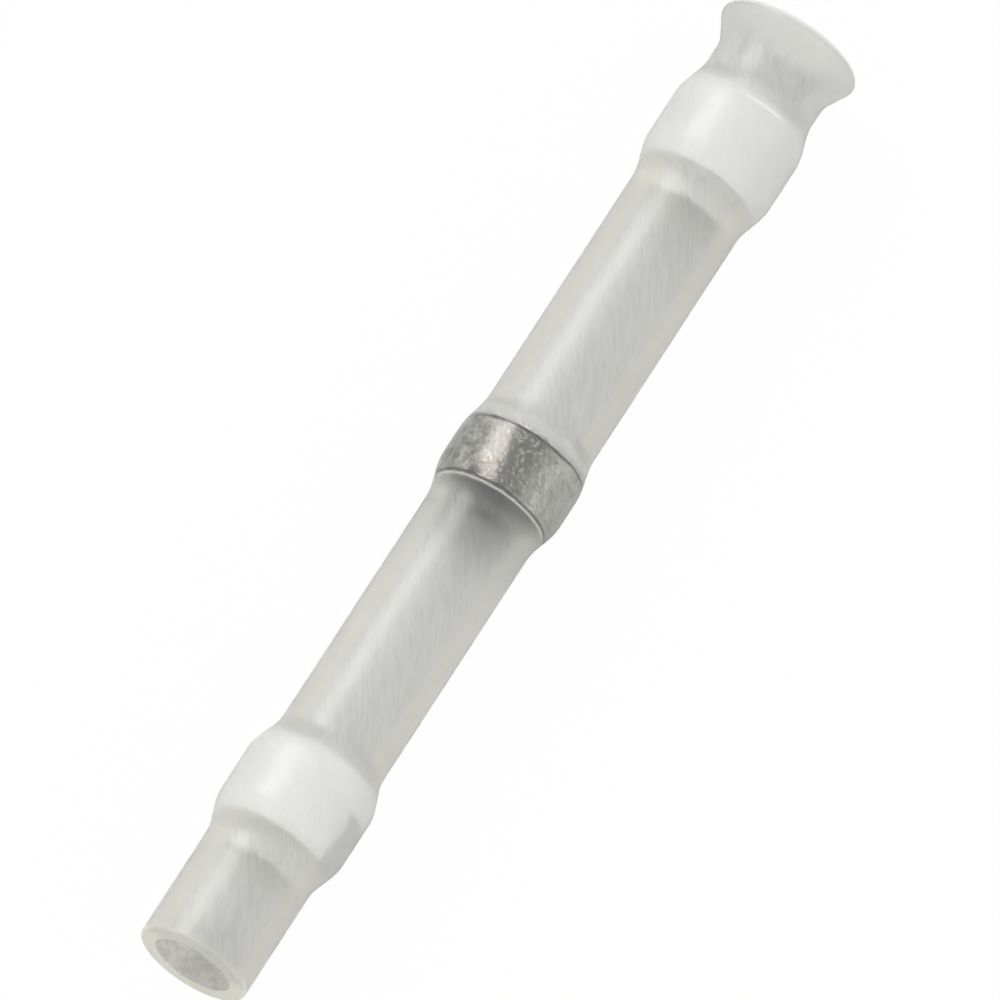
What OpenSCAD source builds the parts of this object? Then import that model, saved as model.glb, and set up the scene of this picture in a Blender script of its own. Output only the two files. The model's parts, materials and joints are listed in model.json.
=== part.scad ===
// Solder-sleeve butt splice: a clear heat-shrink tube recovered onto a solder ring and two
// hot-melt sealing rings, with a plain cut end and a flared end.
// The tube lies along X, the solder ring is centred on the origin and the flared end is at +X.

/* [Sleeve] */
// Overall length, from the cut plain end to the tip of the flared lip
sleeve_length = 26; // [20:0.5:42]
// Outside diameter of the mouth at the plain end
mouth_d = 2.70; // [2.3:0.01:3.2]
// Wall thickness at the plain end
wall = 0.40; // [0.2:0.01:0.6]
// Outside diameter of the barrel between the solder ring and the plain end's sealing ring
plain_barrel_d = 2.65; // [2.3:0.01:2.9]
// Outside diameter of the barrel between the solder ring and the flared end
flared_barrel_d = 2.75; // [2.3:0.01:2.9]
// Length of the plain mouth, from the cut end to the sealing ring
mouth_length = 3.40; // [1.5:0.05:6]
// Radius on the outer edge of the plain end
edge_round = 0.05; // [0.02:0.01:0.15]

/* [Shoulders] */
// Length over which the sleeve closes down past the end of a ring
shoulder_run = 0.60; // [0.3:0.05:1]
// Length by which the outside starts to fall before the end of a ring
shoulder_lead = 0.50; // [0.2:0.05:0.55]

/* [Flared end] */
// Length of the straight neck between the last shoulder and the flare
neck_length = 0.36; // [0.1:0.02:3]
// Outside diameter where the flare meets the rounded lip
flare_d = 3.39; // [3.1:0.01:4.5]
// Angle between the flare and the axis
flare_angle = 28; // [20:1:50]
// Radius of the bend from the neck into the flare
flare_bend = 0.83; // [0.3:0.01:1.5]
// Depth of the flat that the soft lip takes where the sleeve lies on it
lip_flat = 0.06; // [0.02:0.01:0.08]

/* [Solder ring] */
// Outside diameter of the solder ring
solder_ring_d = 2.40; // [2.3:0.01:3]
// Bore of the solder ring
solder_ring_bore = 1.90; // [1.6:0.01:2.1]
// Length of the solder ring
solder_ring_length = 1.65; // [1.2:0.05:4]
// Radius on the edges of the solder ring
solder_ring_edge = 0.04; // [0.01:0.01:0.1]

/* [Sealing rings] */
// Outside diameter of a sealing ring
sealing_ring_d = 2.54; // [2.35:0.01:3]
// Bore of a sealing ring
sealing_ring_bore = 1.90; // [1.6:0.01:2.1]
// Length of a sealing ring
sealing_ring_length = 2.10; // [1.2:0.05:4]
// Radius on the edges of a sealing ring
sealing_ring_edge = 0.08; // [0.01:0.01:0.1]

/* [Fit] */
// Radial gap between a ring and the sleeve that grips it
ring_clearance = 0.01; // [0.005:0.005:0.05]

/* [Hidden] */
$fn = 96;

// Straight steps along each curved stretch of an outline
shoulder_steps = 12;
flare_steps = 10;
lip_steps = 10;
edge_steps = 4;

// The tube's cross-section stays the same along its length, so the wall is thinner where it is held wider.
mouth_r = mouth_d / 2;
wall_section = pow(mouth_r, 2) - pow(mouth_r - wall, 2);
function bore_r(outer_r) = sqrt(pow(outer_r, 2) - wall_section);
function outer_r(bore_r) = sqrt(pow(bore_r, 2) + wall_section);

plain_barrel_r = plain_barrel_d / 2;
flared_barrel_r = flared_barrel_d / 2;
solder_seat_r = solder_ring_d / 2 + ring_clearance;
sealing_seat_r = sealing_ring_d / 2 + ring_clearance;

// The flare bends out of the neck without a kink, runs straight and ends in a round lip.
flare_r = flare_d / 2;
lip_r = (flare_r - bore_r(flare_r)) / 2;
bend_rise = flare_bend * (1 - cos(flare_angle));
bend_run = flare_bend * sin(flare_angle);
straight_run = (flare_r - flared_barrel_r - bend_rise) / tan(flare_angle);
lip_run = lip_r * (1 + sin(flare_angle));
lip_outer_r = flare_r + lip_r * (1 - cos(flare_angle));
lip_flat_r = lip_outer_r - lip_flat;

// The sealing rings leave both ends their lengths, and the solder ring lies midway between them.
flared_end_length = shoulder_run + neck_length + bend_run + straight_run + lip_run;
rings_length = sleeve_length - mouth_length - flared_end_length;
ring_gap = (rings_length - solder_ring_length) / 2 - sealing_ring_length;

// Places along X
solder_end_x = solder_ring_length / 2;
sealing_start_x = solder_end_x + ring_gap;
sealing_end_x = sealing_start_x + sealing_ring_length;
sealing_middle_x = (sealing_start_x + sealing_end_x) / 2;
plain_end_x = -sealing_end_x - mouth_length;
flare_start_x = sealing_end_x + shoulder_run + neck_length;
lip_start_x = flare_start_x + bend_run + straight_run;

// Each bulge: its ring's start and end, the seat's radius, and the sleeve's outer radius before and after
BULGES = [
    [-sealing_end_x, -sealing_start_x, sealing_seat_r, mouth_r, plain_barrel_r],
    [-solder_end_x, solder_end_x, solder_seat_r, plain_barrel_r, flared_barrel_r],
    [sealing_start_x, sealing_end_x, sealing_seat_r, flared_barrel_r, flared_barrel_r]
];

function reversed(list) = [for (i = [len(list) - 1 : -1 : 0]) list[i]];
function mixed(a, b, share) = a + (b - a) * share;
function smooth_share(share) = (1 - cos(180 * share)) / 2;

// Outline points are [radius, x].
function shoulder(x0, r0, x1, r1) = [
    for (i = [0 : shoulder_steps])
        let (share = i / shoulder_steps)
        [mixed(r0, r1, smooth_share(share)), mixed(x0, x1, share)]
];

function outer_bulge(b) = concat(
    shoulder(b[0] - shoulder_run, b[3], b[0] + shoulder_lead, outer_r(b[2])),
    shoulder(b[1] - shoulder_lead, outer_r(b[2]), b[1] + shoulder_run, b[4])
);

// The inside leaves the edge of a ring at a slope and eases into the bore.
function inner_shoulder(edge_x, edge_r, bore_x, bore_r) = [
    for (i = [0 : shoulder_steps])
        let (share = i / shoulder_steps)
        [mixed(edge_r, bore_r, sin(90 * share)), mixed(edge_x, bore_x, share)]
];

function inner_bulge(b) = concat(
    reversed(inner_shoulder(b[0], b[2], b[0] - shoulder_run, bore_r(b[3]))),
    inner_shoulder(b[1], b[2], b[1] + shoulder_run, bore_r(b[4]))
);

function arc(r, x, radius, from, to, steps) = [
    for (i = [0 : steps])
        let (angle = mixed(from, to, i / steps))
        [r + radius * sin(angle), x + radius * cos(angle)]
];

// The outside of the flare, as points with the outline's angle at each of them
function flare_stations() = concat(
    [
        for (i = [0 : flare_steps])
            let (angle = flare_angle * i / flare_steps, rise = flare_bend * (1 - cos(angle)))
            [flared_barrel_r + rise, flare_start_x + flare_bend * sin(angle), angle]
    ],
    [[flare_r, lip_start_x, flare_angle]]
);

function outer_flare() = [for (p = flare_stations()) [p[0], p[1]]];

function inner_flare() = [
    for (p = flare_stations())
        let (depth = p[0] - bore_r(p[0]))
        [p[0] - depth * cos(p[2]), p[1] + depth * sin(p[2])]
];

// The lip is half a circle between the flare's outside and inside, which already hold its two ends.
function lip() =
    let (step = 180 / lip_steps)
    arc(
        flare_r - lip_r * cos(flare_angle), lip_start_x + lip_r * sin(flare_angle), lip_r,
        flare_angle + 90 - step, flare_angle - 90 + step, lip_steps - 2
    );

function sleeve_outside() = concat(
    arc(mouth_r - edge_round, plain_end_x + edge_round, edge_round, 180, 90, edge_steps),
    [for (b = BULGES) each outer_bulge(b)],
    outer_flare()
);

function sleeve_inside() = concat(
    [[bore_r(mouth_r), plain_end_x]],
    [for (b = BULGES) each inner_bulge(b)],
    inner_flare()
);

module along_x() rotate([0, 90, 0]) children();

// All that lies lower than the flat on the lip
module under_flat()
    translate([flare_start_x, -lip_outer_r, -2 * lip_outer_r - lip_flat_r])
    cube(2 * lip_outer_r);

module heat_shrink_sleeve()
    color([0.84, 0.85, 0.82], 0.55)
    difference() {
        along_x() rotate_extrude() polygon(concat(sleeve_outside(), lip(), reversed(sleeve_inside())));
        under_flat();
    }

// A plain ring with rounded edges, centred on the origin
module ring(outside_d, bore_d, length, edge) {
    outside_r = outside_d / 2 - edge;
    inside_r = bore_d / 2 + edge;
    end_x = length / 2 - edge;
    along_x() rotate_extrude() polygon(concat(
        arc(outside_r, end_x, edge, 0, 90, edge_steps),
        arc(outside_r, -end_x, edge, 90, 180, edge_steps),
        arc(inside_r, -end_x, edge, 180, 270, edge_steps),
        arc(inside_r, end_x, edge, 270, 360, edge_steps)
    ));
}

module solder_ring()
    color([0.62, 0.62, 0.60])
    ring(solder_ring_d, solder_ring_bore, solder_ring_length, solder_ring_edge);

module sealing_ring(middle_x)
    color([0.93, 0.94, 0.92])
    translate([middle_x, 0, 0])
    ring(sealing_ring_d, sealing_ring_bore, sealing_ring_length, sealing_ring_edge);

module sealing_ring_plain_end() sealing_ring(-sealing_middle_x);

module sealing_ring_flared_end() sealing_ring(sealing_middle_x);

heat_shrink_sleeve();
solder_ring();
sealing_ring_plain_end();
sealing_ring_flared_end();
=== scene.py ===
import json
import math

import bpy
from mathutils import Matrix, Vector


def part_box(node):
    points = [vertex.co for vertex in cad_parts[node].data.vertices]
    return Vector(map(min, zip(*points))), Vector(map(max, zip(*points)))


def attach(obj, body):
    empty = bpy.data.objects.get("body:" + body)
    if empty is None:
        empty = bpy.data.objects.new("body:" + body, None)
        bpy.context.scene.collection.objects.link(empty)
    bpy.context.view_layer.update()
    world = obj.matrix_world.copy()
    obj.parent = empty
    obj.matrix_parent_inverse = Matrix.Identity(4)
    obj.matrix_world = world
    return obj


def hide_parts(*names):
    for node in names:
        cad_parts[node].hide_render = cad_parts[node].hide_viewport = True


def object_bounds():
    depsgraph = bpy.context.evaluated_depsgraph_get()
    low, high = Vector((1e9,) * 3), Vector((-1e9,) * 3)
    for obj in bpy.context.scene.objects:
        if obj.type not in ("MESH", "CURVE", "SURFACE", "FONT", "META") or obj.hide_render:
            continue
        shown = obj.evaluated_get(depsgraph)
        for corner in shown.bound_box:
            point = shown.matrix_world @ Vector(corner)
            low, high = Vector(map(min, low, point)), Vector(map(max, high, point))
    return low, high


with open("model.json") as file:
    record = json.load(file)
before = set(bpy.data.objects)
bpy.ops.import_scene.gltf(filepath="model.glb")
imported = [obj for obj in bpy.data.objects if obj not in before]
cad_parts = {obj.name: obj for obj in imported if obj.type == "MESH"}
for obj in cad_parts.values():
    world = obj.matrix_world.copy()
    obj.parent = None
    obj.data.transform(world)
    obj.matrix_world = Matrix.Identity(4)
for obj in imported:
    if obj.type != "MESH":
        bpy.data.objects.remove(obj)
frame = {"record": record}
cad_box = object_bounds()

MM = 0.001

# Sleeve sizes that the frame doesn't give
WALL = 0.40 * MM
SHOULDER_LEAD = 0.50 * MM
CUT_EDGE = 0.10 * MM
BORE_EDGE = 0.02 * MM
FLARE_R = 1.695 * MM
FLARE_ANGLE = math.radians(28)
FLARE_BEND = 0.83 * MM

# Ring sizes that the frame doesn't give. The drawn rings touch the wall that grips them.
RING_BORE_R = 0.95 * MM
RING_CLEARANCE = 0.01 * MM
RING_CONTACT = 0.015 * MM
RING_EDGE = 0.04 * MM

# How finely the meshes are cut
SEGMENTS = 192
OUTSIDE_STEP = 0.11 * MM
INSIDE_STEP = 0.22 * MM
SHOULDER_STEPS = 14
ARC_STEPS = 8

# The view of the photograph: a point on the axis and a step across it give the middle of the picture.
VIEW_AZIMUTH = math.radians(-59.2)
VIEW_ELEVATION = math.radians(66.3)
PICTURE_WIDTH = 22.20 * MM
AIM_X = -0.565 * MM
AIM_ACROSS = 0.096 * MM
LENS_MM = 1600
SENSOR_MM = 36
CLIP_RATIO = 10


# Places along the axis, from the frame


def ends(node):
    low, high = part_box(node)
    return low.x, high.x


def mount_named(name):
    return next(mount for mount in frame["record"]["mounts"] if mount["name"] == name)


def bore(name):
    return mount_named(name)["dims"]["r_mm"] * MM


def bore_start(name):
    mount = mount_named(name)
    return mount["pos_m"][0] - mount["dims"]["length_mm"] * MM / 2


MOUTH_BORE_R = bore("plain_mouth_bore")
MOUTH_R = MOUTH_BORE_R + WALL
WALL_SECTION = MOUTH_R ** 2 - MOUTH_BORE_R ** 2


def inner_r(outer):
    return math.sqrt(outer ** 2 - WALL_SECTION)


def outer_r(inner):
    return math.sqrt(inner ** 2 + WALL_SECTION)


PLAIN_BARREL_R = outer_r(bore("plain_barrel_bore"))
FLARED_BARREL_R = outer_r(bore("flared_barrel_bore"))
PLAIN_END_X, TIP_X = ends("heat_shrink_sleeve")
SOLDER_ENDS = ends("solder_ring")
PLAIN_SEAL_ENDS = ends("sealing_ring_plain_end")
FLARED_SEAL_ENDS = ends("sealing_ring_flared_end")
SOLDER_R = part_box("solder_ring")[1].z
SEALING_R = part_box("sealing_ring_plain_end")[1].z
SHOULDER_RUN = bore_start("flared_barrel_bore") - SOLDER_ENDS[1]
FLOOR_Z = cad_box[0].z

# Each bulge: its ring's ends, the seat's radius, and the sleeve's outer radius before and after
BULGES = (
    (PLAIN_SEAL_ENDS, SEALING_R + RING_CLEARANCE, MOUTH_R, PLAIN_BARREL_R),
    (SOLDER_ENDS, SOLDER_R + RING_CLEARANCE, PLAIN_BARREL_R, FLARED_BARREL_R),
    (FLARED_SEAL_ENDS, SEALING_R + RING_CLEARANCE, FLARED_BARREL_R, FLARED_BARREL_R),
)


# Outlines are lists of (x, radius).


def arc(x, r, radius, first, last, steps=ARC_STEPS):
    points = []
    for i in range(steps + 1):
        angle = math.radians(first + (last - first) * i / steps)
        points.append((x + radius * math.cos(angle), r + radius * math.sin(angle)))
    return points


def shoulder(x0, r0, x1, r1):
    points = []
    for i in range(SHOULDER_STEPS + 1):
        share = i / SHOULDER_STEPS
        smooth = (1 - math.cos(math.pi * share)) / 2
        points.append((x0 + (x1 - x0) * share, r0 + (r1 - r0) * smooth))
    return points


def inner_shoulder(edge_x, edge_r, bore_x, bore_r):
    """The inside leaves the edge of a ring at a slope and eases into the bore."""
    points = []
    for i in range(SHOULDER_STEPS + 1):
        share = i / SHOULDER_STEPS
        eased = math.sin(math.pi / 2 * share)
        points.append((edge_x + (bore_x - edge_x) * share, edge_r + (bore_r - edge_r) * eased))
    return points


def closely_spaced(points, step):
    """The same outline with more points along its long straight stretches."""
    result = [points[0]]
    for (x0, r0), (x1, r1) in zip(points, points[1:]):
        count = max(1, math.ceil(math.hypot(x1 - x0, r1 - r0) / step))
        for i in range(1, count + 1):
            share = i / count
            result.append((x0 + (x1 - x0) * share, r0 + (r1 - r0) * share))
    return result


def outer_bulge(ring, seat, before, after):
    rise = shoulder(ring[0] - SHOULDER_RUN, before, ring[0] + SHOULDER_LEAD, outer_r(seat))
    fall = shoulder(ring[1] - SHOULDER_LEAD, outer_r(seat), ring[1] + SHOULDER_RUN, after)
    return rise + fall


def inner_bulge(ring, seat, before, after):
    rise = inner_shoulder(ring[0], seat, ring[0] - SHOULDER_RUN, inner_r(before))
    fall = inner_shoulder(ring[1], seat, ring[1] + SHOULDER_RUN, inner_r(after))
    return rise[::-1] + fall


def flare():
    """The outside of the flare, the round lip and the inside of the flare."""
    lip = (FLARE_R - inner_r(FLARE_R)) / 2
    bend_rise = FLARE_BEND * (1 - math.cos(FLARE_ANGLE))
    bend_run = FLARE_BEND * math.sin(FLARE_ANGLE)
    straight_run = (FLARE_R - FLARED_BARREL_R - bend_rise) / math.tan(FLARE_ANGLE)
    lip_start = TIP_X - lip * (1 + math.sin(FLARE_ANGLE))
    start = lip_start - straight_run - bend_run
    stations = []
    for i in range(ARC_STEPS + 1):
        angle = FLARE_ANGLE * i / ARC_STEPS
        rise = FLARE_BEND * (1 - math.cos(angle))
        stations.append((start + FLARE_BEND * math.sin(angle), FLARED_BARREL_R + rise, angle))
    stations.append((lip_start, FLARE_R, FLARE_ANGLE))
    outside = [(x, r) for x, r, angle in stations]
    inside = []
    for x, r, angle in stations:
        depth = r - inner_r(r)
        inside.append((x + depth * math.sin(angle), r - depth * math.cos(angle)))
    tilt = math.degrees(FLARE_ANGLE)
    middle_x = lip_start + lip * math.sin(FLARE_ANGLE)
    middle_r = FLARE_R - lip * math.cos(FLARE_ANGLE)
    round_lip = arc(middle_x, middle_r, lip, tilt + 90, tilt - 90, 2 * ARC_STEPS)
    return outside, round_lip[1:-1], inside


def sleeve_outline():
    """The sleeve's outline, and the rows of faces on its outside, its inside and its cut face."""
    flare_outside, lip, flare_inside = flare()
    bore_edge = arc(PLAIN_END_X + BORE_EDGE, MOUTH_BORE_R + BORE_EDGE, BORE_EDGE, 270, 180)
    outer_edge = arc(PLAIN_END_X + CUT_EDGE, MOUTH_R - CUT_EDGE, CUT_EDGE, 180, 90)
    outside, inside = [outer_edge[-1]], [bore_edge[0]]
    for bulge in BULGES:
        outside += outer_bulge(*bulge)
        inside += inner_bulge(*bulge)
    outside = closely_spaced(outside + flare_outside, OUTSIDE_STEP) + lip
    inside = closely_spaced(inside + flare_inside, INSIDE_STEP)
    cut_face = bore_edge[1:] + outer_edge[:-1]
    return outside + inside[::-1] + cut_face, (len(outside), len(inside) - 1, len(cut_face) + 1)


def ring_outline(ring, outside):
    points = arc(ring[1] - RING_EDGE, outside - RING_EDGE, RING_EDGE, 0, 90)
    points += arc(ring[0] + RING_EDGE, outside - RING_EDGE, RING_EDGE, 90, 180)
    points += arc(ring[0] + RING_EDGE, RING_BORE_R + RING_EDGE, RING_EDGE, 180, 270)
    points += arc(ring[1] - RING_EDGE, RING_BORE_R + RING_EDGE, RING_EDGE, 270, 360)
    return closely_spaced(points, OUTSIDE_STEP)


def revolve(name, outline, materials, rows=None):
    """A closed outline turned about the X axis, flat where it lies on the floor.
    Each material covers its number of rows of faces, and a single one covers them all."""
    vertices = []
    for x, r in outline:
        for i in range(SEGMENTS):
            angle = 2 * math.pi * i / SEGMENTS
            vertices.append((x, r * math.sin(angle), max(r * math.cos(angle), FLOOR_Z)))
    faces = []
    count = len(outline)
    for row in range(count):
        here = row * SEGMENTS
        there = (row + 1) % count * SEGMENTS
        for i in range(SEGMENTS):
            j = (i + 1) % SEGMENTS
            faces.append((here + i, there + i, there + j, here + j))
    mesh = bpy.data.meshes.new(name)
    mesh.from_pydata(vertices, [], faces)
    indices = []
    for index, (material, row_count) in enumerate(zip(materials, rows or [count])):
        mesh.materials.append(material)
        indices += [index] * row_count * SEGMENTS
    mesh.polygons.foreach_set("material_index", indices)
    mesh.shade_smooth()
    mesh.update()
    piece = bpy.data.objects.new(name, mesh)
    bpy.context.scene.collection.objects.link(piece)
    return piece


# Shader nodes


def connect(tree, node, inputs):
    """Sets a node's inputs to values, or links them where sockets are given."""
    for key, value in inputs.items():
        if isinstance(value, bpy.types.NodeSocket):
            tree.links.new(value, node.inputs[key])
        else:
            node.inputs[key].default_value = value


def add(tree, kind, inputs=None, **settings):
    node = tree.nodes.new("ShaderNode" + kind)
    for name, value in settings.items():
        setattr(node, name, value)
    connect(tree, node, inputs or {})
    return node


def new_material(name):
    material = bpy.data.materials.new(name)
    material.use_nodes = True
    tree = material.node_tree
    return material, tree, tree.nodes["Principled BSDF"]


def math_node(tree, operation, *values):
    return add(tree, "Math", dict(enumerate(values)), operation=operation).outputs[0]


def product(tree, first, second):
    return math_node(tree, "MULTIPLY", first, second)


def larger(tree, first, second):
    return math_node(tree, "MAXIMUM", first, second)


def place(tree):
    """A point's place on the piece, in millimetres."""
    coordinates = add(tree, "TexCoord").outputs["Object"]
    return add(tree, "VectorMath", {0: coordinates, "Scale": 1 / MM}, operation="SCALE").outputs[0]


def noise(tree, vector, scale, detail=2.0, roughness=0.5):
    inputs = {"Vector": vector, "Scale": scale, "Detail": detail, "Roughness": roughness}
    return add(tree, "TexNoise", inputs).outputs["Fac"]


def stretched(tree, vector, scale):
    return add(tree, "VectorMath", {0: vector, 1: scale}, operation="MULTIPLY").outputs[0]


def twisted(tree, vector):
    """The place wound round the axis, so that streaks run aslant."""
    angle = product(tree, along_axis(tree, vector), FIBRE_TURN)
    inputs = {"Vector": vector, "Angle": angle}
    return add(tree, "VectorRotate", inputs, rotation_type="X_AXIS").outputs[0]


def fade(tree, value, low, high):
    """0 up to low, 1 from high on, and a smooth step between them."""
    inputs = {"Value": value, "From Min": low, "From Max": high}
    return add(tree, "MapRange", inputs, interpolation_type="SMOOTHSTEP").outputs["Result"]


def band(tree, value, low, high, soft):
    """1 between low and high, fading to 0 over soft on both sides."""
    rise = fade(tree, value, low - soft, low + soft)
    fall = fade(tree, value, high + soft, high - soft)
    return product(tree, rise, fall)


def span(tree, factor, low, high):
    """A number from low to high as the factor goes from 0 to 1."""
    return add(tree, "MapRange", {"Value": factor, "To Min": low, "To Max": high}).outputs["Result"]


# The sockets of a Mix node that are for colours
FIRST_COLOUR = 6
SECOND_COLOUR = 7
MIXED_COLOUR = 2


def blend(tree, factor, first, second):
    """One colour, or the colour of one socket, turning into another as the factor goes from 0 to 1."""
    mix = add(tree, "Mix", data_type="RGBA")
    inputs = {0: factor}
    for index, colour in ((FIRST_COLOUR, first), (SECOND_COLOUR, second)):
        inputs[index] = colour if isinstance(colour, bpy.types.NodeSocket) else (*colour, 1)
    connect(tree, mix, inputs)
    return mix.outputs[MIXED_COLOUR]


def bump(tree, height, depth, normal=None):
    inputs = {"Height": height, "Distance": depth}
    if normal:
        inputs["Normal"] = normal
    return add(tree, "Bump", inputs).outputs["Normal"]


def along_axis(tree, where):
    return add(tree, "SeparateXYZ", {0: where}).outputs["X"]


def from_axis(tree, where):
    across_axis = stretched(tree, where, (0, 1, 1))
    return add(tree, "VectorMath", {0: across_axis}, operation="LENGTH").outputs["Value"]


def towards(tree, where, direction):
    """How far a point lies in a direction, in millimetres."""
    return add(tree, "VectorMath", {0: where, 1: direction}, operation="DOT_PRODUCT").outputs["Value"]


def shifted(tree, value, wobble, reach):
    """A value moved up by a wobble of up to reach."""
    return math_node(tree, "MULTIPLY_ADD", wobble, reach, value)


def beside(start, offsets):
    """Places given by their distances from one place."""
    return tuple(start + offset for offset in offsets)


# Materials. Lengths are in millimetres, and a grain is a noise's scale, detail and roughness.

PLAIN_RING, SOLDER_RING, FLARED_RING = (tuple(x / MM for x in ring) for ring, *_ in BULGES)
MOUTH_X, LIP_X = PLAIN_END_X / MM, TIP_X / MM

# The side of the rings on which the solder is pale and one sealing ring is dry, and the side square to it
BRIGHT_SIDE = (0, -0.976, -0.219)
UPPER_SIDE = (0, -0.219, 0.976)

# The sleeve's plastic
SLEEVE_IOR = 1.48
HAZY_SHARE = 0.80
WALL_COLOUR = (1.0, 0.997, 0.955)
WALL_DENSITY = 20
FIBRE_TURN = 0.45
SKIN_ROUGHNESS = (0.30, 0.42)


def clear_plastic(name):
    """The sleeve's plastic: slightly yellow through its wall."""
    material, tree, shader = new_material(name)
    connect(tree, shader, {"IOR": SLEEVE_IOR, "Transmission Weight": HAZY_SHARE})
    wall = add(tree, "VolumeAbsorption", {"Color": (*WALL_COLOUR, 1), "Density": WALL_DENSITY})
    tree.links.new(wall.outputs[0], tree.nodes["Material Output"].inputs["Volume"])
    return material, tree, shader


# The outside: its colours, the shares of light that it lets through, and where they change
FIBRE_DARK = (0.89, 0.893, 0.893)
FIBRE_LIGHT = (1.0, 1.0, 1.0)
PAINTED_SIDE_GLOW = (1.0, 0.994, 0.93)
END_MILK_GLOW_AND_GLINT = (1.0, 0.995, 0.94)
CLEAR_SHARE = 0.94
MILK_GLOW_AND_GLINT_FACTOR = 0.45
FIBRE_SCALE = (1.9, 12, 12)
FIBRE_CONTRAST = (0.40, 0.60)
SMOOTHED_FIBRE = 0.6
SIDE_FADE = (0.60, 0.72)
BULGE_FADE = (0.15, 0.03)
SIDE_GLOW_STOP = (0.394, -0.006)
MOUTH_MILK_AND_GLOW = (0.20, -0.05)
LIP_MILK_AND_GLOW = (-0.16, -0.08)
GLINT_LINE = (-0.196, -0.126)
GLINT_LINE_SOFT = 0.015
GLINT_LINE_SIDES = (-0.15, 0.75)
GLINT_LINE_SIDES_SOFT = 0.15
GLINT_LINE_GRAIN = (3.0, 3)
GLINT_LINE_WOBBLE = 0.06
CLEAR_RISE = (-2.675, -0.475)
CLEAR_FALL = (0.125, -0.125)
FIBRE_DEPTH = 0.0015 * MM
WAVE_SCALE = 0.9
WAVE_DEPTH = 0.012 * MM
COAT_WEIGHT = 0.12
COAT_ROUGHNESS = 0.2


def outside_material():
    """A satin skin with soft waves and fine slanting fibres. It is smooth along both sides, with painted
    cream glow there for light running round the wall, and clearer by the solder. It is milky near both ends
    with painted cream glow, and a white line by the flared end's ring is a painted glint."""
    material, tree, shader = clear_plastic("sleeve_outside")
    where = place(tree)
    x = along_axis(tree, where)
    radius = from_axis(tree, where)
    brightward = towards(tree, where, BRIGHT_SIDE)
    side_share = math_node(tree, "DIVIDE", math_node(tree, "ABSOLUTE", brightward), radius)
    sides = fade(tree, side_share, *SIDE_FADE)
    barrels = fade(tree, radius, *beside(MOUTH_R / MM, BULGE_FADE))
    smooth = larger(tree, sides, math_node(tree, "SUBTRACT", 1.0, barrels))
    fibres = noise(tree, stretched(tree, twisted(tree, where), FIBRE_SCALE), 1)
    fibres = larger(tree, fade(tree, fibres, *FIBRE_CONTRAST), product(tree, smooth, SMOOTHED_FIBRE))
    colour = blend(tree, fibres, FIBRE_DARK, FIBRE_LIGHT)
    # Painted cream glow along both sides, for light running round the wall; it stops before the flare.
    before_flare = fade(tree, x, *beside(FLARED_RING[1], SIDE_GLOW_STOP))
    cream_glow = product(tree, product(tree, sides, barrels), before_flare)
    colour = blend(tree, cream_glow, colour, PAINTED_SIDE_GLOW)
    # A white line by the flared end's ring, on part of the way round: a painted glint.
    wavering = shifted(tree, x, noise(tree, where, *GLINT_LINE_GRAIN), GLINT_LINE_WOBBLE)
    glint_line = band(tree, wavering, *beside(FLARED_RING[1], GLINT_LINE), GLINT_LINE_SOFT)
    glint_line = product(tree, glint_line, band(tree, brightward, *GLINT_LINE_SIDES, GLINT_LINE_SIDES_SOFT))
    # Milky near both ends, with painted cream glow carried on from the cut face.
    mouth = fade(tree, x, *beside(MOUTH_X, MOUTH_MILK_AND_GLOW))
    lip = fade(tree, x, *beside(LIP_X, LIP_MILK_AND_GLOW))
    milk_glow_and_glint = larger(tree, larger(tree, mouth, lip), glint_line)
    colour = blend(tree, milk_glow_and_glint, colour, END_MILK_GLOW_AND_GLINT)
    rise = fade(tree, x, *beside(SOLDER_RING[0], CLEAR_RISE))
    near_solder = product(tree, rise, fade(tree, x, *beside(SOLDER_RING[1], CLEAR_FALL)))
    clear = span(tree, near_solder, HAZY_SHARE, CLEAR_SHARE)
    waves = bump(tree, noise(tree, where, WAVE_SCALE), WAVE_DEPTH)
    normal = bump(tree, fibres, FIBRE_DEPTH, waves)
    connect(tree, shader, {
        "Base Color": colour,
        "Transmission Weight": product(tree, clear, span(tree, milk_glow_and_glint, 1.0, MILK_GLOW_AND_GLINT_FACTOR)),
        "Roughness": span(tree, near_solder, span(tree, fibres, *SKIN_ROUGHNESS), SKIN_ROUGHNESS[0]),
        "Normal": normal,
        "Coat Weight": COAT_WEIGHT,
        "Coat Roughness": COAT_ROUGHNESS,
        "Coat Normal": normal,
    })
    return material


# The inside: its colours, the shares of light that it lets through, and where they change
BORE_DARK = (0.84, 0.85, 0.865)
BORE_LIGHT = (0.95, 0.958, 0.97)
SHADE_DARK = (0.36, 0.368, 0.375)
SHADE_LIGHT = (0.62, 0.627, 0.635)
FILM_SHADE = (0.78, 0.787, 0.797)
MOUTH_SHADE_DARK = (0.58, 0.585, 0.58)
MOUTH_SHADE_LIGHT = (0.86, 0.865, 0.86)
FLARE_GREY = (0.64, 0.65, 0.665)
FILM_AND_GLINT_CREAM = (0.995, 0.99, 0.94)
BORE_SHARE = 0.97
FILM_AND_GLINT_SHARE = 0.40
STREAK_SCALE = (0.7, 2.6, 2.6)
STREAK_GRAIN = (1, 5, 0.6)
STREAK_CONTRAST = (0.3, 0.7)
SHADE = (-1.3, 0)
SHADE_SOFT = 0.7
SHADE_TURN = (-0.6, 0.6)
FILM_SHADE_SPAN = (-1.5, -0.6)
FILM_SHADE_SOFT = 0.3
MOUTH_SHADE_GRAIN = (6, 4, 0.7)
MOUTH_SHADE_CONTRAST = (0.38, 0.62)
MOUTH_SHADE_REACH = (1.7, 0.9)
MOUTH_SHADE_RAGGED = 0.8
FLARE_SHADE = (0.5, 1.1)
FILM_GRAIN = (4.5, 5, 0.6)
FILM_RAGGED = 0.4
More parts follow.
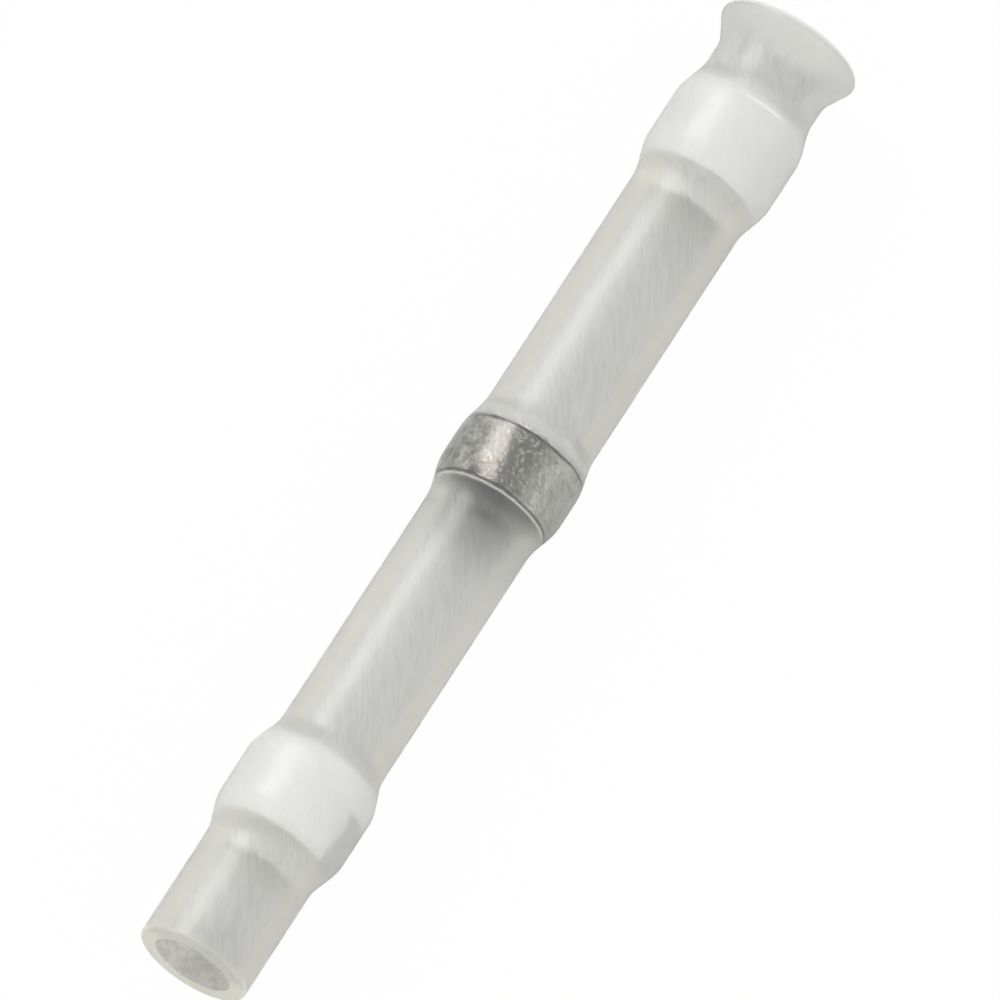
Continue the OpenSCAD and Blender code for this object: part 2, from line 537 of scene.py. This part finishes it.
FILM_SOFT = 0.03
WETTED = (
    beside(PLAIN_RING[0], (-0.58, 0.20)),
    beside(PLAIN_RING[1], (0, 0.55)),
    beside(SOLDER_RING[1], (0, 0.45)),
    beside(FLARED_RING[0], (-0.58, 0.20)),
    beside(FLARED_RING[1], (0, 0.30)),
)
SOLDER_GLINT = (-0.03, 0.01)
SOLDER_GLINT_SOFT = 0.01
FROST_GRAIN = (9, 3)
BORE_WAVE_SCALE = 0.8
BORE_WAVE_DEPTH = 0.02 * MM


def inside_material():
    """A frosted bore with lengthwise streaks. It has painted shade by the solder and by the flared end's
    ring, mottled painted shade near the mouth and a grey flare, and is wetted with cream sealant beside the
    rings. A thin pale line at the solder's plain end is a painted glint."""
    material, tree, shader = clear_plastic("sleeve_inside")
    where = place(tree)
    x = along_axis(tree, where)
    streaks = noise(tree, stretched(tree, where, STREAK_SCALE), *STREAK_GRAIN)
    colour = blend(tree, fade(tree, streaks, *STREAK_CONTRAST), BORE_DARK, BORE_LIGHT)
    turn = fade(tree, towards(tree, where, BRIGHT_SIDE), *SHADE_TURN)
    shade = band(tree, x, *beside(SOLDER_RING[0], SHADE), SHADE_SOFT)
    colour = blend(tree, shade, colour, blend(tree, turn, SHADE_DARK, SHADE_LIGHT))
    film_shade = band(tree, x, *beside(FLARED_RING[0], FILM_SHADE_SPAN), FILM_SHADE_SOFT)
    colour = blend(tree, film_shade, colour, FILM_SHADE)
    # Mottled painted shade in the bore near the mouth.
    mouth_shade_mottle = fade(tree, noise(tree, where, *MOUTH_SHADE_GRAIN), *MOUTH_SHADE_CONTRAST)
    near_mouth_shade = fade(tree, shifted(tree, x, streaks, MOUTH_SHADE_RAGGED), *beside(MOUTH_X, MOUTH_SHADE_REACH))
    colour = blend(tree, near_mouth_shade, colour, blend(tree, mouth_shade_mottle, MOUTH_SHADE_DARK, MOUTH_SHADE_LIGHT))
    in_flare = fade(tree, x, *beside(FLARED_RING[1], FLARE_SHADE))
    colour = blend(tree, in_flare, colour, FLARE_GREY)
    ragged = shifted(tree, x, noise(tree, where, *FILM_GRAIN), FILM_RAGGED)
    # A thin pale line at the solder's plain end: a painted glint. The ragged bands beside the rings are cream
    # sealant wetting the wall.
    film_and_glint = band(tree, x, *beside(SOLDER_RING[0], SOLDER_GLINT), SOLDER_GLINT_SOFT)
    for low, high in WETTED:
        film_and_glint = larger(tree, film_and_glint, band(tree, ragged, low, high, FILM_SOFT))
    connect(tree, shader, {
        "Base Color": blend(tree, film_and_glint, colour, FILM_AND_GLINT_CREAM),
        "Transmission Weight": span(tree, film_and_glint, BORE_SHARE, FILM_AND_GLINT_SHARE),
        "Roughness": span(tree, noise(tree, where, *FROST_GRAIN), *SKIN_ROUGHNESS),
        "Normal": bump(tree, noise(tree, where, BORE_WAVE_SCALE), BORE_WAVE_DEPTH),
    })
    return material


# The cut face: its colours and the shares of light that it lets through, below and on the upper side
CUT_PALE = (0.985, 0.98, 0.91)
CUT_CREAM = (0.99, 0.985, 0.85)
CUT_UPPER = (0.985, 0.985, 0.96)
CUT_SHARES = (0.35, 0.70)
CUT_UPPER_FADE = (0.2, 0.9)
CUT_GRAIN = (2.2, 4)
CUT_DEPTH = 0.01 * MM
CUT_ROUGHNESS = 0.45


def cut_material():
    """The cut end of the wall, which glows cream with the light that runs along the wall."""
    material, tree, shader = clear_plastic("sleeve_cut_face")
    where = place(tree)
    clouds = noise(tree, where, *CUT_GRAIN)
    upper = fade(tree, towards(tree, where, UPPER_SIDE), *CUT_UPPER_FADE)
    cream_glow = blend(tree, clouds, CUT_PALE, CUT_CREAM)
    connect(tree, shader, {
        "Base Color": blend(tree, upper, cream_glow, CUT_UPPER),
        "Transmission Weight": span(tree, upper, *CUT_SHARES),
        "Normal": bump(tree, clouds, CUT_DEPTH),
        "Roughness": CUT_ROUGHNESS,
    })
    return material


# The solder: its colours, and where they change round it and towards its ends
SOLDER_PALE = ((0.56, 0.56, 0.51), (0.86, 0.86, 0.79))
SOLDER_DULL = ((0.13, 0.13, 0.108), (0.47, 0.467, 0.415))
SOLDER_PAINTED_HIGHLIGHT = ((0.90, 0.79, 0.67), (1.0, 0.975, 0.92))
STAIN_COLOUR = (0.045, 0.045, 0.032)
RIM_COLOUR = (0.03, 0.03, 0.026)
RESIDUE_AND_GLINT_COLOUR = (0.9, 0.9, 0.9)
SOLDER_BORE_SHADE = (0.012, 0.014, 0.016)
METAL_SHARES = (0.6, 0.1)
SOLDER_ROUGHNESS = (0.30, 0.55)
SOLDER_GRAIN = (12, 4, 0.65)
GRAIN_CONTRAST = (0.42, 0.58)
GRAIN_DEPTH = 0.02 * MM
SCRATCH_SCALE = (2.5, 14, 14)
SCRATCH_GRAIN = (1, 4, 0.6)
SCRATCH_CONTRAST = (0.3, 0.7)
SCRATCH_DEPTH = 0.015 * MM
SIDE_GRAIN = (2.0, 3)
SIDE_RAGGED = 0.5
PALE_NEAR = (0.45, 1.0)
PALE_FAR = (-0.35, -0.65)
HIGHLIGHT_AND_STAIN_SLANT = 0.13
PAINTED_HIGHLIGHT = (-0.50, -0.12)
PAINTED_HIGHLIGHT_SOFT = 0.15
STAIN_GRAIN = (6.5, 6, 0.75)
STAIN_CONTRAST = (0.49, 0.52)
STAIN_SIDE = (-0.40, -0.62)
STAIN_STRENGTH = 0.7
RESIDUE_LENGTH = 0.10
RIM_GRAIN = (2.5, 3)
RIM_WOBBLE = 0.12
RIM = (-0.03, 0.02)
RIM_SOFT = 0.015
RESIDUE_AND_GLINT_FADE = (-0.03, -0.015)
SOLDER_SKIN = (-0.10, -0.13)


def solder_material():
    """Dull solder with a warm painted highlight, stains on one side, paler sides of painted light, dark rims,
    and a black bore of painted shade. Its end faces are pale at their outer edge, a painted glint, and pale
    residue covers its last stretch at the flared side."""
    material, tree, shader = new_material("solder_metal")
    where = place(tree)
    x = along_axis(tree, where)
    side = towards(tree, where, BRIGHT_SIDE)
    side = shifted(tree, side, noise(tree, where, *SIDE_GRAIN), SIDE_RAGGED)
    slanted = math_node(tree, "MULTIPLY_ADD", x, HIGHLIGHT_AND_STAIN_SLANT, side)
    grain = fade(tree, noise(tree, where, *SOLDER_GRAIN), *GRAIN_CONTRAST)
    scratches = noise(tree, stretched(tree, twisted(tree, where), SCRATCH_SCALE), *SCRATCH_GRAIN)
    pale = blend(tree, fade(tree, scratches, *SCRATCH_CONTRAST), *SOLDER_PALE)
    # Paler towards both sides: painted light on the metal. The scratches there are the metal's own.
    metal = blend(tree, fade(tree, side, *PALE_NEAR), blend(tree, grain, *SOLDER_DULL), pale)
    metal = blend(tree, fade(tree, side, *PALE_FAR), metal, pale)
    # A warm painted highlight in a slanting band.
    painted_highlight = band(tree, slanted, *PAINTED_HIGHLIGHT, PAINTED_HIGHLIGHT_SOFT)
    metal = blend(tree, painted_highlight, metal, blend(tree, grain, *SOLDER_PAINTED_HIGHLIGHT))
    stains = fade(tree, noise(tree, where, *STAIN_GRAIN), *STAIN_CONTRAST)
    stains = product(tree, stains, fade(tree, slanted, *STAIN_SIDE))
    metal = blend(tree, product(tree, stains, STAIN_STRENGTH), metal, STAIN_COLOUR)
    half = SOLDER_RING[1] - RESIDUE_LENGTH / 2
    from_middle = math_node(tree, "ABSOLUTE", math_node(tree, "ADD", x, RESIDUE_LENGTH / 2))
    wavering = shifted(tree, from_middle, noise(tree, where, *RIM_GRAIN), RIM_WOBBLE)
    metal = blend(tree, band(tree, wavering, *beside(half, RIM), RIM_SOFT), metal, RIM_COLOUR)
    # Pale at the outer edge of the end faces as a painted glint, and over the last stretch at the flared side
    # as residue.
    metal = blend(tree, fade(tree, from_middle, *beside(half, RESIDUE_AND_GLINT_FADE)), metal, RESIDUE_AND_GLINT_COLOUR)
    # A nearly black bore and inner end faces: painted shade.
    skin = beside((SOLDER_R + RING_CONTACT) / MM, SOLDER_SKIN)
    metal = blend(tree, fade(tree, from_axis(tree, where), *skin), metal, SOLDER_BORE_SHADE)
    connect(tree, shader, {
        "Base Color": metal,
        "Metallic": span(tree, painted_highlight, *METAL_SHARES),
        "Roughness": span(tree, grain, *SOLDER_ROUGHNESS),
        "Normal": bump(tree, grain, GRAIN_DEPTH, bump(tree, scratches, SCRATCH_DEPTH)),
    })
    return material


# The sealing rings: their colours and where they change
SEALANT_WHITE = (0.992, 0.993, 0.955)
SEALANT_CLOUD = (0.955, 0.958, 0.91)
FLARED_SEALANT = (0.94, 0.944, 0.912)
DRY_COLOUR = (0.66, 0.665, 0.61)
SEALANT_BORE_SHADE = (0.65, 0.655, 0.66)
SEALANT_ROUGHNESS = 0.45
CLOUD_GRAIN = (1.6, 4, 0.6)
CLOUD_DEPTH = 0.02 * MM
FLARED_HALF = (-1, 1)
DRY_GRAIN = (5, 5, 0.65)
DRY_SIDE = (1.20, 1.24)
DRY_SIDE_RAGGED = 0.35
DRY_START = 0.2
DRY_STOP = -0.5
DRY_SOFT = 0.05
DRY_RAGGED = 0.5
SEALANT_BORE_FADE = (0.06, 0.02)


def sealant_material():
    """White hot-melt with faint clouds, a grey bore of painted shade, and a patch where it hasn't wetted the
    sleeve.
    """
    material, tree, shader = new_material("milky_sealant")
    where = place(tree)
    x = along_axis(tree, where)
    clouds = noise(tree, where, *CLOUD_GRAIN)
    colour = blend(tree, clouds, SEALANT_WHITE, SEALANT_CLOUD)
    colour = blend(tree, fade(tree, x, *FLARED_HALF), colour, FLARED_SEALANT)
    ragged = noise(tree, where, *DRY_GRAIN)
    side = shifted(tree, towards(tree, where, BRIGHT_SIDE), ragged, DRY_SIDE_RAGGED)
    lengthwise = shifted(tree, x, ragged, DRY_RAGGED)
    patch = band(tree, lengthwise, PLAIN_RING[0] + DRY_START, PLAIN_RING[1] + DRY_STOP, DRY_SOFT)
    dry = product(tree, fade(tree, side, *DRY_SIDE), patch)
    colour = blend(tree, dry, colour, DRY_COLOUR)
    # Painted shade in the bore.
    in_bore = fade(tree, from_axis(tree, where), *beside(RING_BORE_R / MM, SEALANT_BORE_FADE))
    connect(tree, shader, {
        "Base Color": blend(tree, in_bore, colour, SEALANT_BORE_SHADE),
        "Normal": bump(tree, clouds, CLOUD_DEPTH),
        "Roughness": SEALANT_ROUGHNESS,
    })
    return material


# The pieces


def dress(piece, node):
    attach(piece, "root")
    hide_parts(node)


outline, rows = sleeve_outline()
materials = (outside_material(), inside_material(), cut_material())
dress(revolve("sleeve_skin", outline, materials, rows), "heat_shrink_sleeve")
outline = ring_outline(SOLDER_ENDS, SOLDER_R + RING_CONTACT)
dress(revolve("solder_band", outline, [solder_material()]), "solder_ring")
sealant = sealant_material()
for end, ring in (("plain_end", PLAIN_SEAL_ENDS), ("flared_end", FLARED_SEAL_ENDS)):
    outline = ring_outline(ring, SEALING_R + RING_CONTACT)
    dress(revolve("sealant_band_" + end, outline, [sealant]), "sealing_ring_" + end)


# Camera

horizontal = Vector((-math.sin(VIEW_AZIMUTH), math.cos(VIEW_AZIMUTH), 0))
forward = horizontal * math.cos(VIEW_ELEVATION) - Vector((0, 0, math.sin(VIEW_ELEVATION)))
axis_in_picture = (Vector((1, 0, 0)) - forward * forward.x).normalized()
across = forward.cross(axis_in_picture)
aim = Vector((AIM_X, 0, 0)) + across * AIM_ACROSS
camera_data = bpy.data.cameras.new("camera")
camera_data.lens = LENS_MM
camera_data.sensor_width = SENSOR_MM
distance = PICTURE_WIDTH * LENS_MM / SENSOR_MM
camera_data.clip_start = distance / CLIP_RATIO
camera_data.clip_end = distance * CLIP_RATIO
camera = bpy.data.objects.new("camera", camera_data)
camera.location = aim - forward * distance
camera.rotation_mode = "QUATERNION"
camera.rotation_quaternion = forward.to_track_quat("-Z", "Y")
bpy.context.scene.collection.objects.link(camera)
bpy.context.scene.camera = camera


# Stage: lengths in metres, powers in watts

FLOOR_SIZE = 3.0
FLOOR_ALBEDO = 0.85
FLOOR_GLOW_SEEN = 0.97
FLOOR_GLOW_THROUGH = 0.19
AMBIENT = 0.7
KEY_DIRECTION = Vector((0.345, 0.60, 0.72))
KEY_DISTANCE = 0.30
KEY_SIZE = 0.17
KEY_POWER = 0.33
FILL_DIRECTION = Vector((-0.2, -0.85, 0.5))
FILL_DISTANCE = 0.30
FILL_SIZE = 0.30
FILL_POWER = 0.16


def seen_directly(tree, camera_share, other_share):
    """A share of one kind for camera rays and of another for reflected and refracted rays."""
    rays = add(tree, "LightPath").outputs
    other = larger(tree, rays["Is Glossy Ray"], rays["Is Transmission Ray"])
    other = product(tree, other, other_share)
    return math_node(tree, "MULTIPLY_ADD", rays["Is Camera Ray"], camera_share, other)


def floor():
    material = bpy.data.materials.new("pale_floor")
    material.use_nodes = True
    tree = material.node_tree
    tree.nodes.clear()
    matte = add(tree, "BsdfDiffuse", {"Color": (FLOOR_ALBEDO, FLOOR_ALBEDO, FLOOR_ALBEDO, 1)})
    glow = add(tree, "Emission")
    share = seen_directly(tree, FLOOR_GLOW_SEEN, FLOOR_GLOW_THROUGH)
    mix = add(tree, "MixShader", {0: share, 1: matte.outputs[0], 2: glow.outputs[0]})
    add(tree, "OutputMaterial", {"Surface": mix.outputs[0]})
    half = FLOOR_SIZE / 2
    corners = [(x * half, y * half, FLOOR_Z) for x, y in ((-1, -1), (1, -1), (1, 1), (-1, 1))]
    mesh = bpy.data.meshes.new("floor")
    mesh.from_pydata(corners, [], [(0, 1, 2, 3)])
    mesh.materials.append(material)
    plane = bpy.data.objects.new("floor", mesh)
    bpy.context.scene.collection.objects.link(plane)


def white_world():
    world = bpy.data.worlds.new("white_studio")
    bpy.context.scene.world = world
    world.use_nodes = True
    tree = world.node_tree
    strength = larger(tree, seen_directly(tree, 1.0, 1.0), AMBIENT)
    connect(tree, tree.nodes["Background"], {"Color": (1, 1, 1, 1), "Strength": strength})


def softbox(name, direction, distance, size, power):
    light = bpy.data.lights.new(name, "AREA")
    light.shape = "DISK"
    light.size = size
    light.energy = power
    lamp = bpy.data.objects.new(name, light)
    lamp.location = direction.normalized() * distance
    lamp.rotation_mode = "QUATERNION"
    lamp.rotation_quaternion = (-direction).to_track_quat("-Z", "Y")
    lamp.visible_camera = False
    bpy.context.scene.collection.objects.link(lamp)


floor()
white_world()
softbox("key", KEY_DIRECTION, KEY_DISTANCE, KEY_SIZE, KEY_POWER)
softbox("fill", FILL_DIRECTION, FILL_DISTANCE, FILL_SIZE, FILL_POWER)
bpy.context.scene.view_settings.view_transform = "Standard"
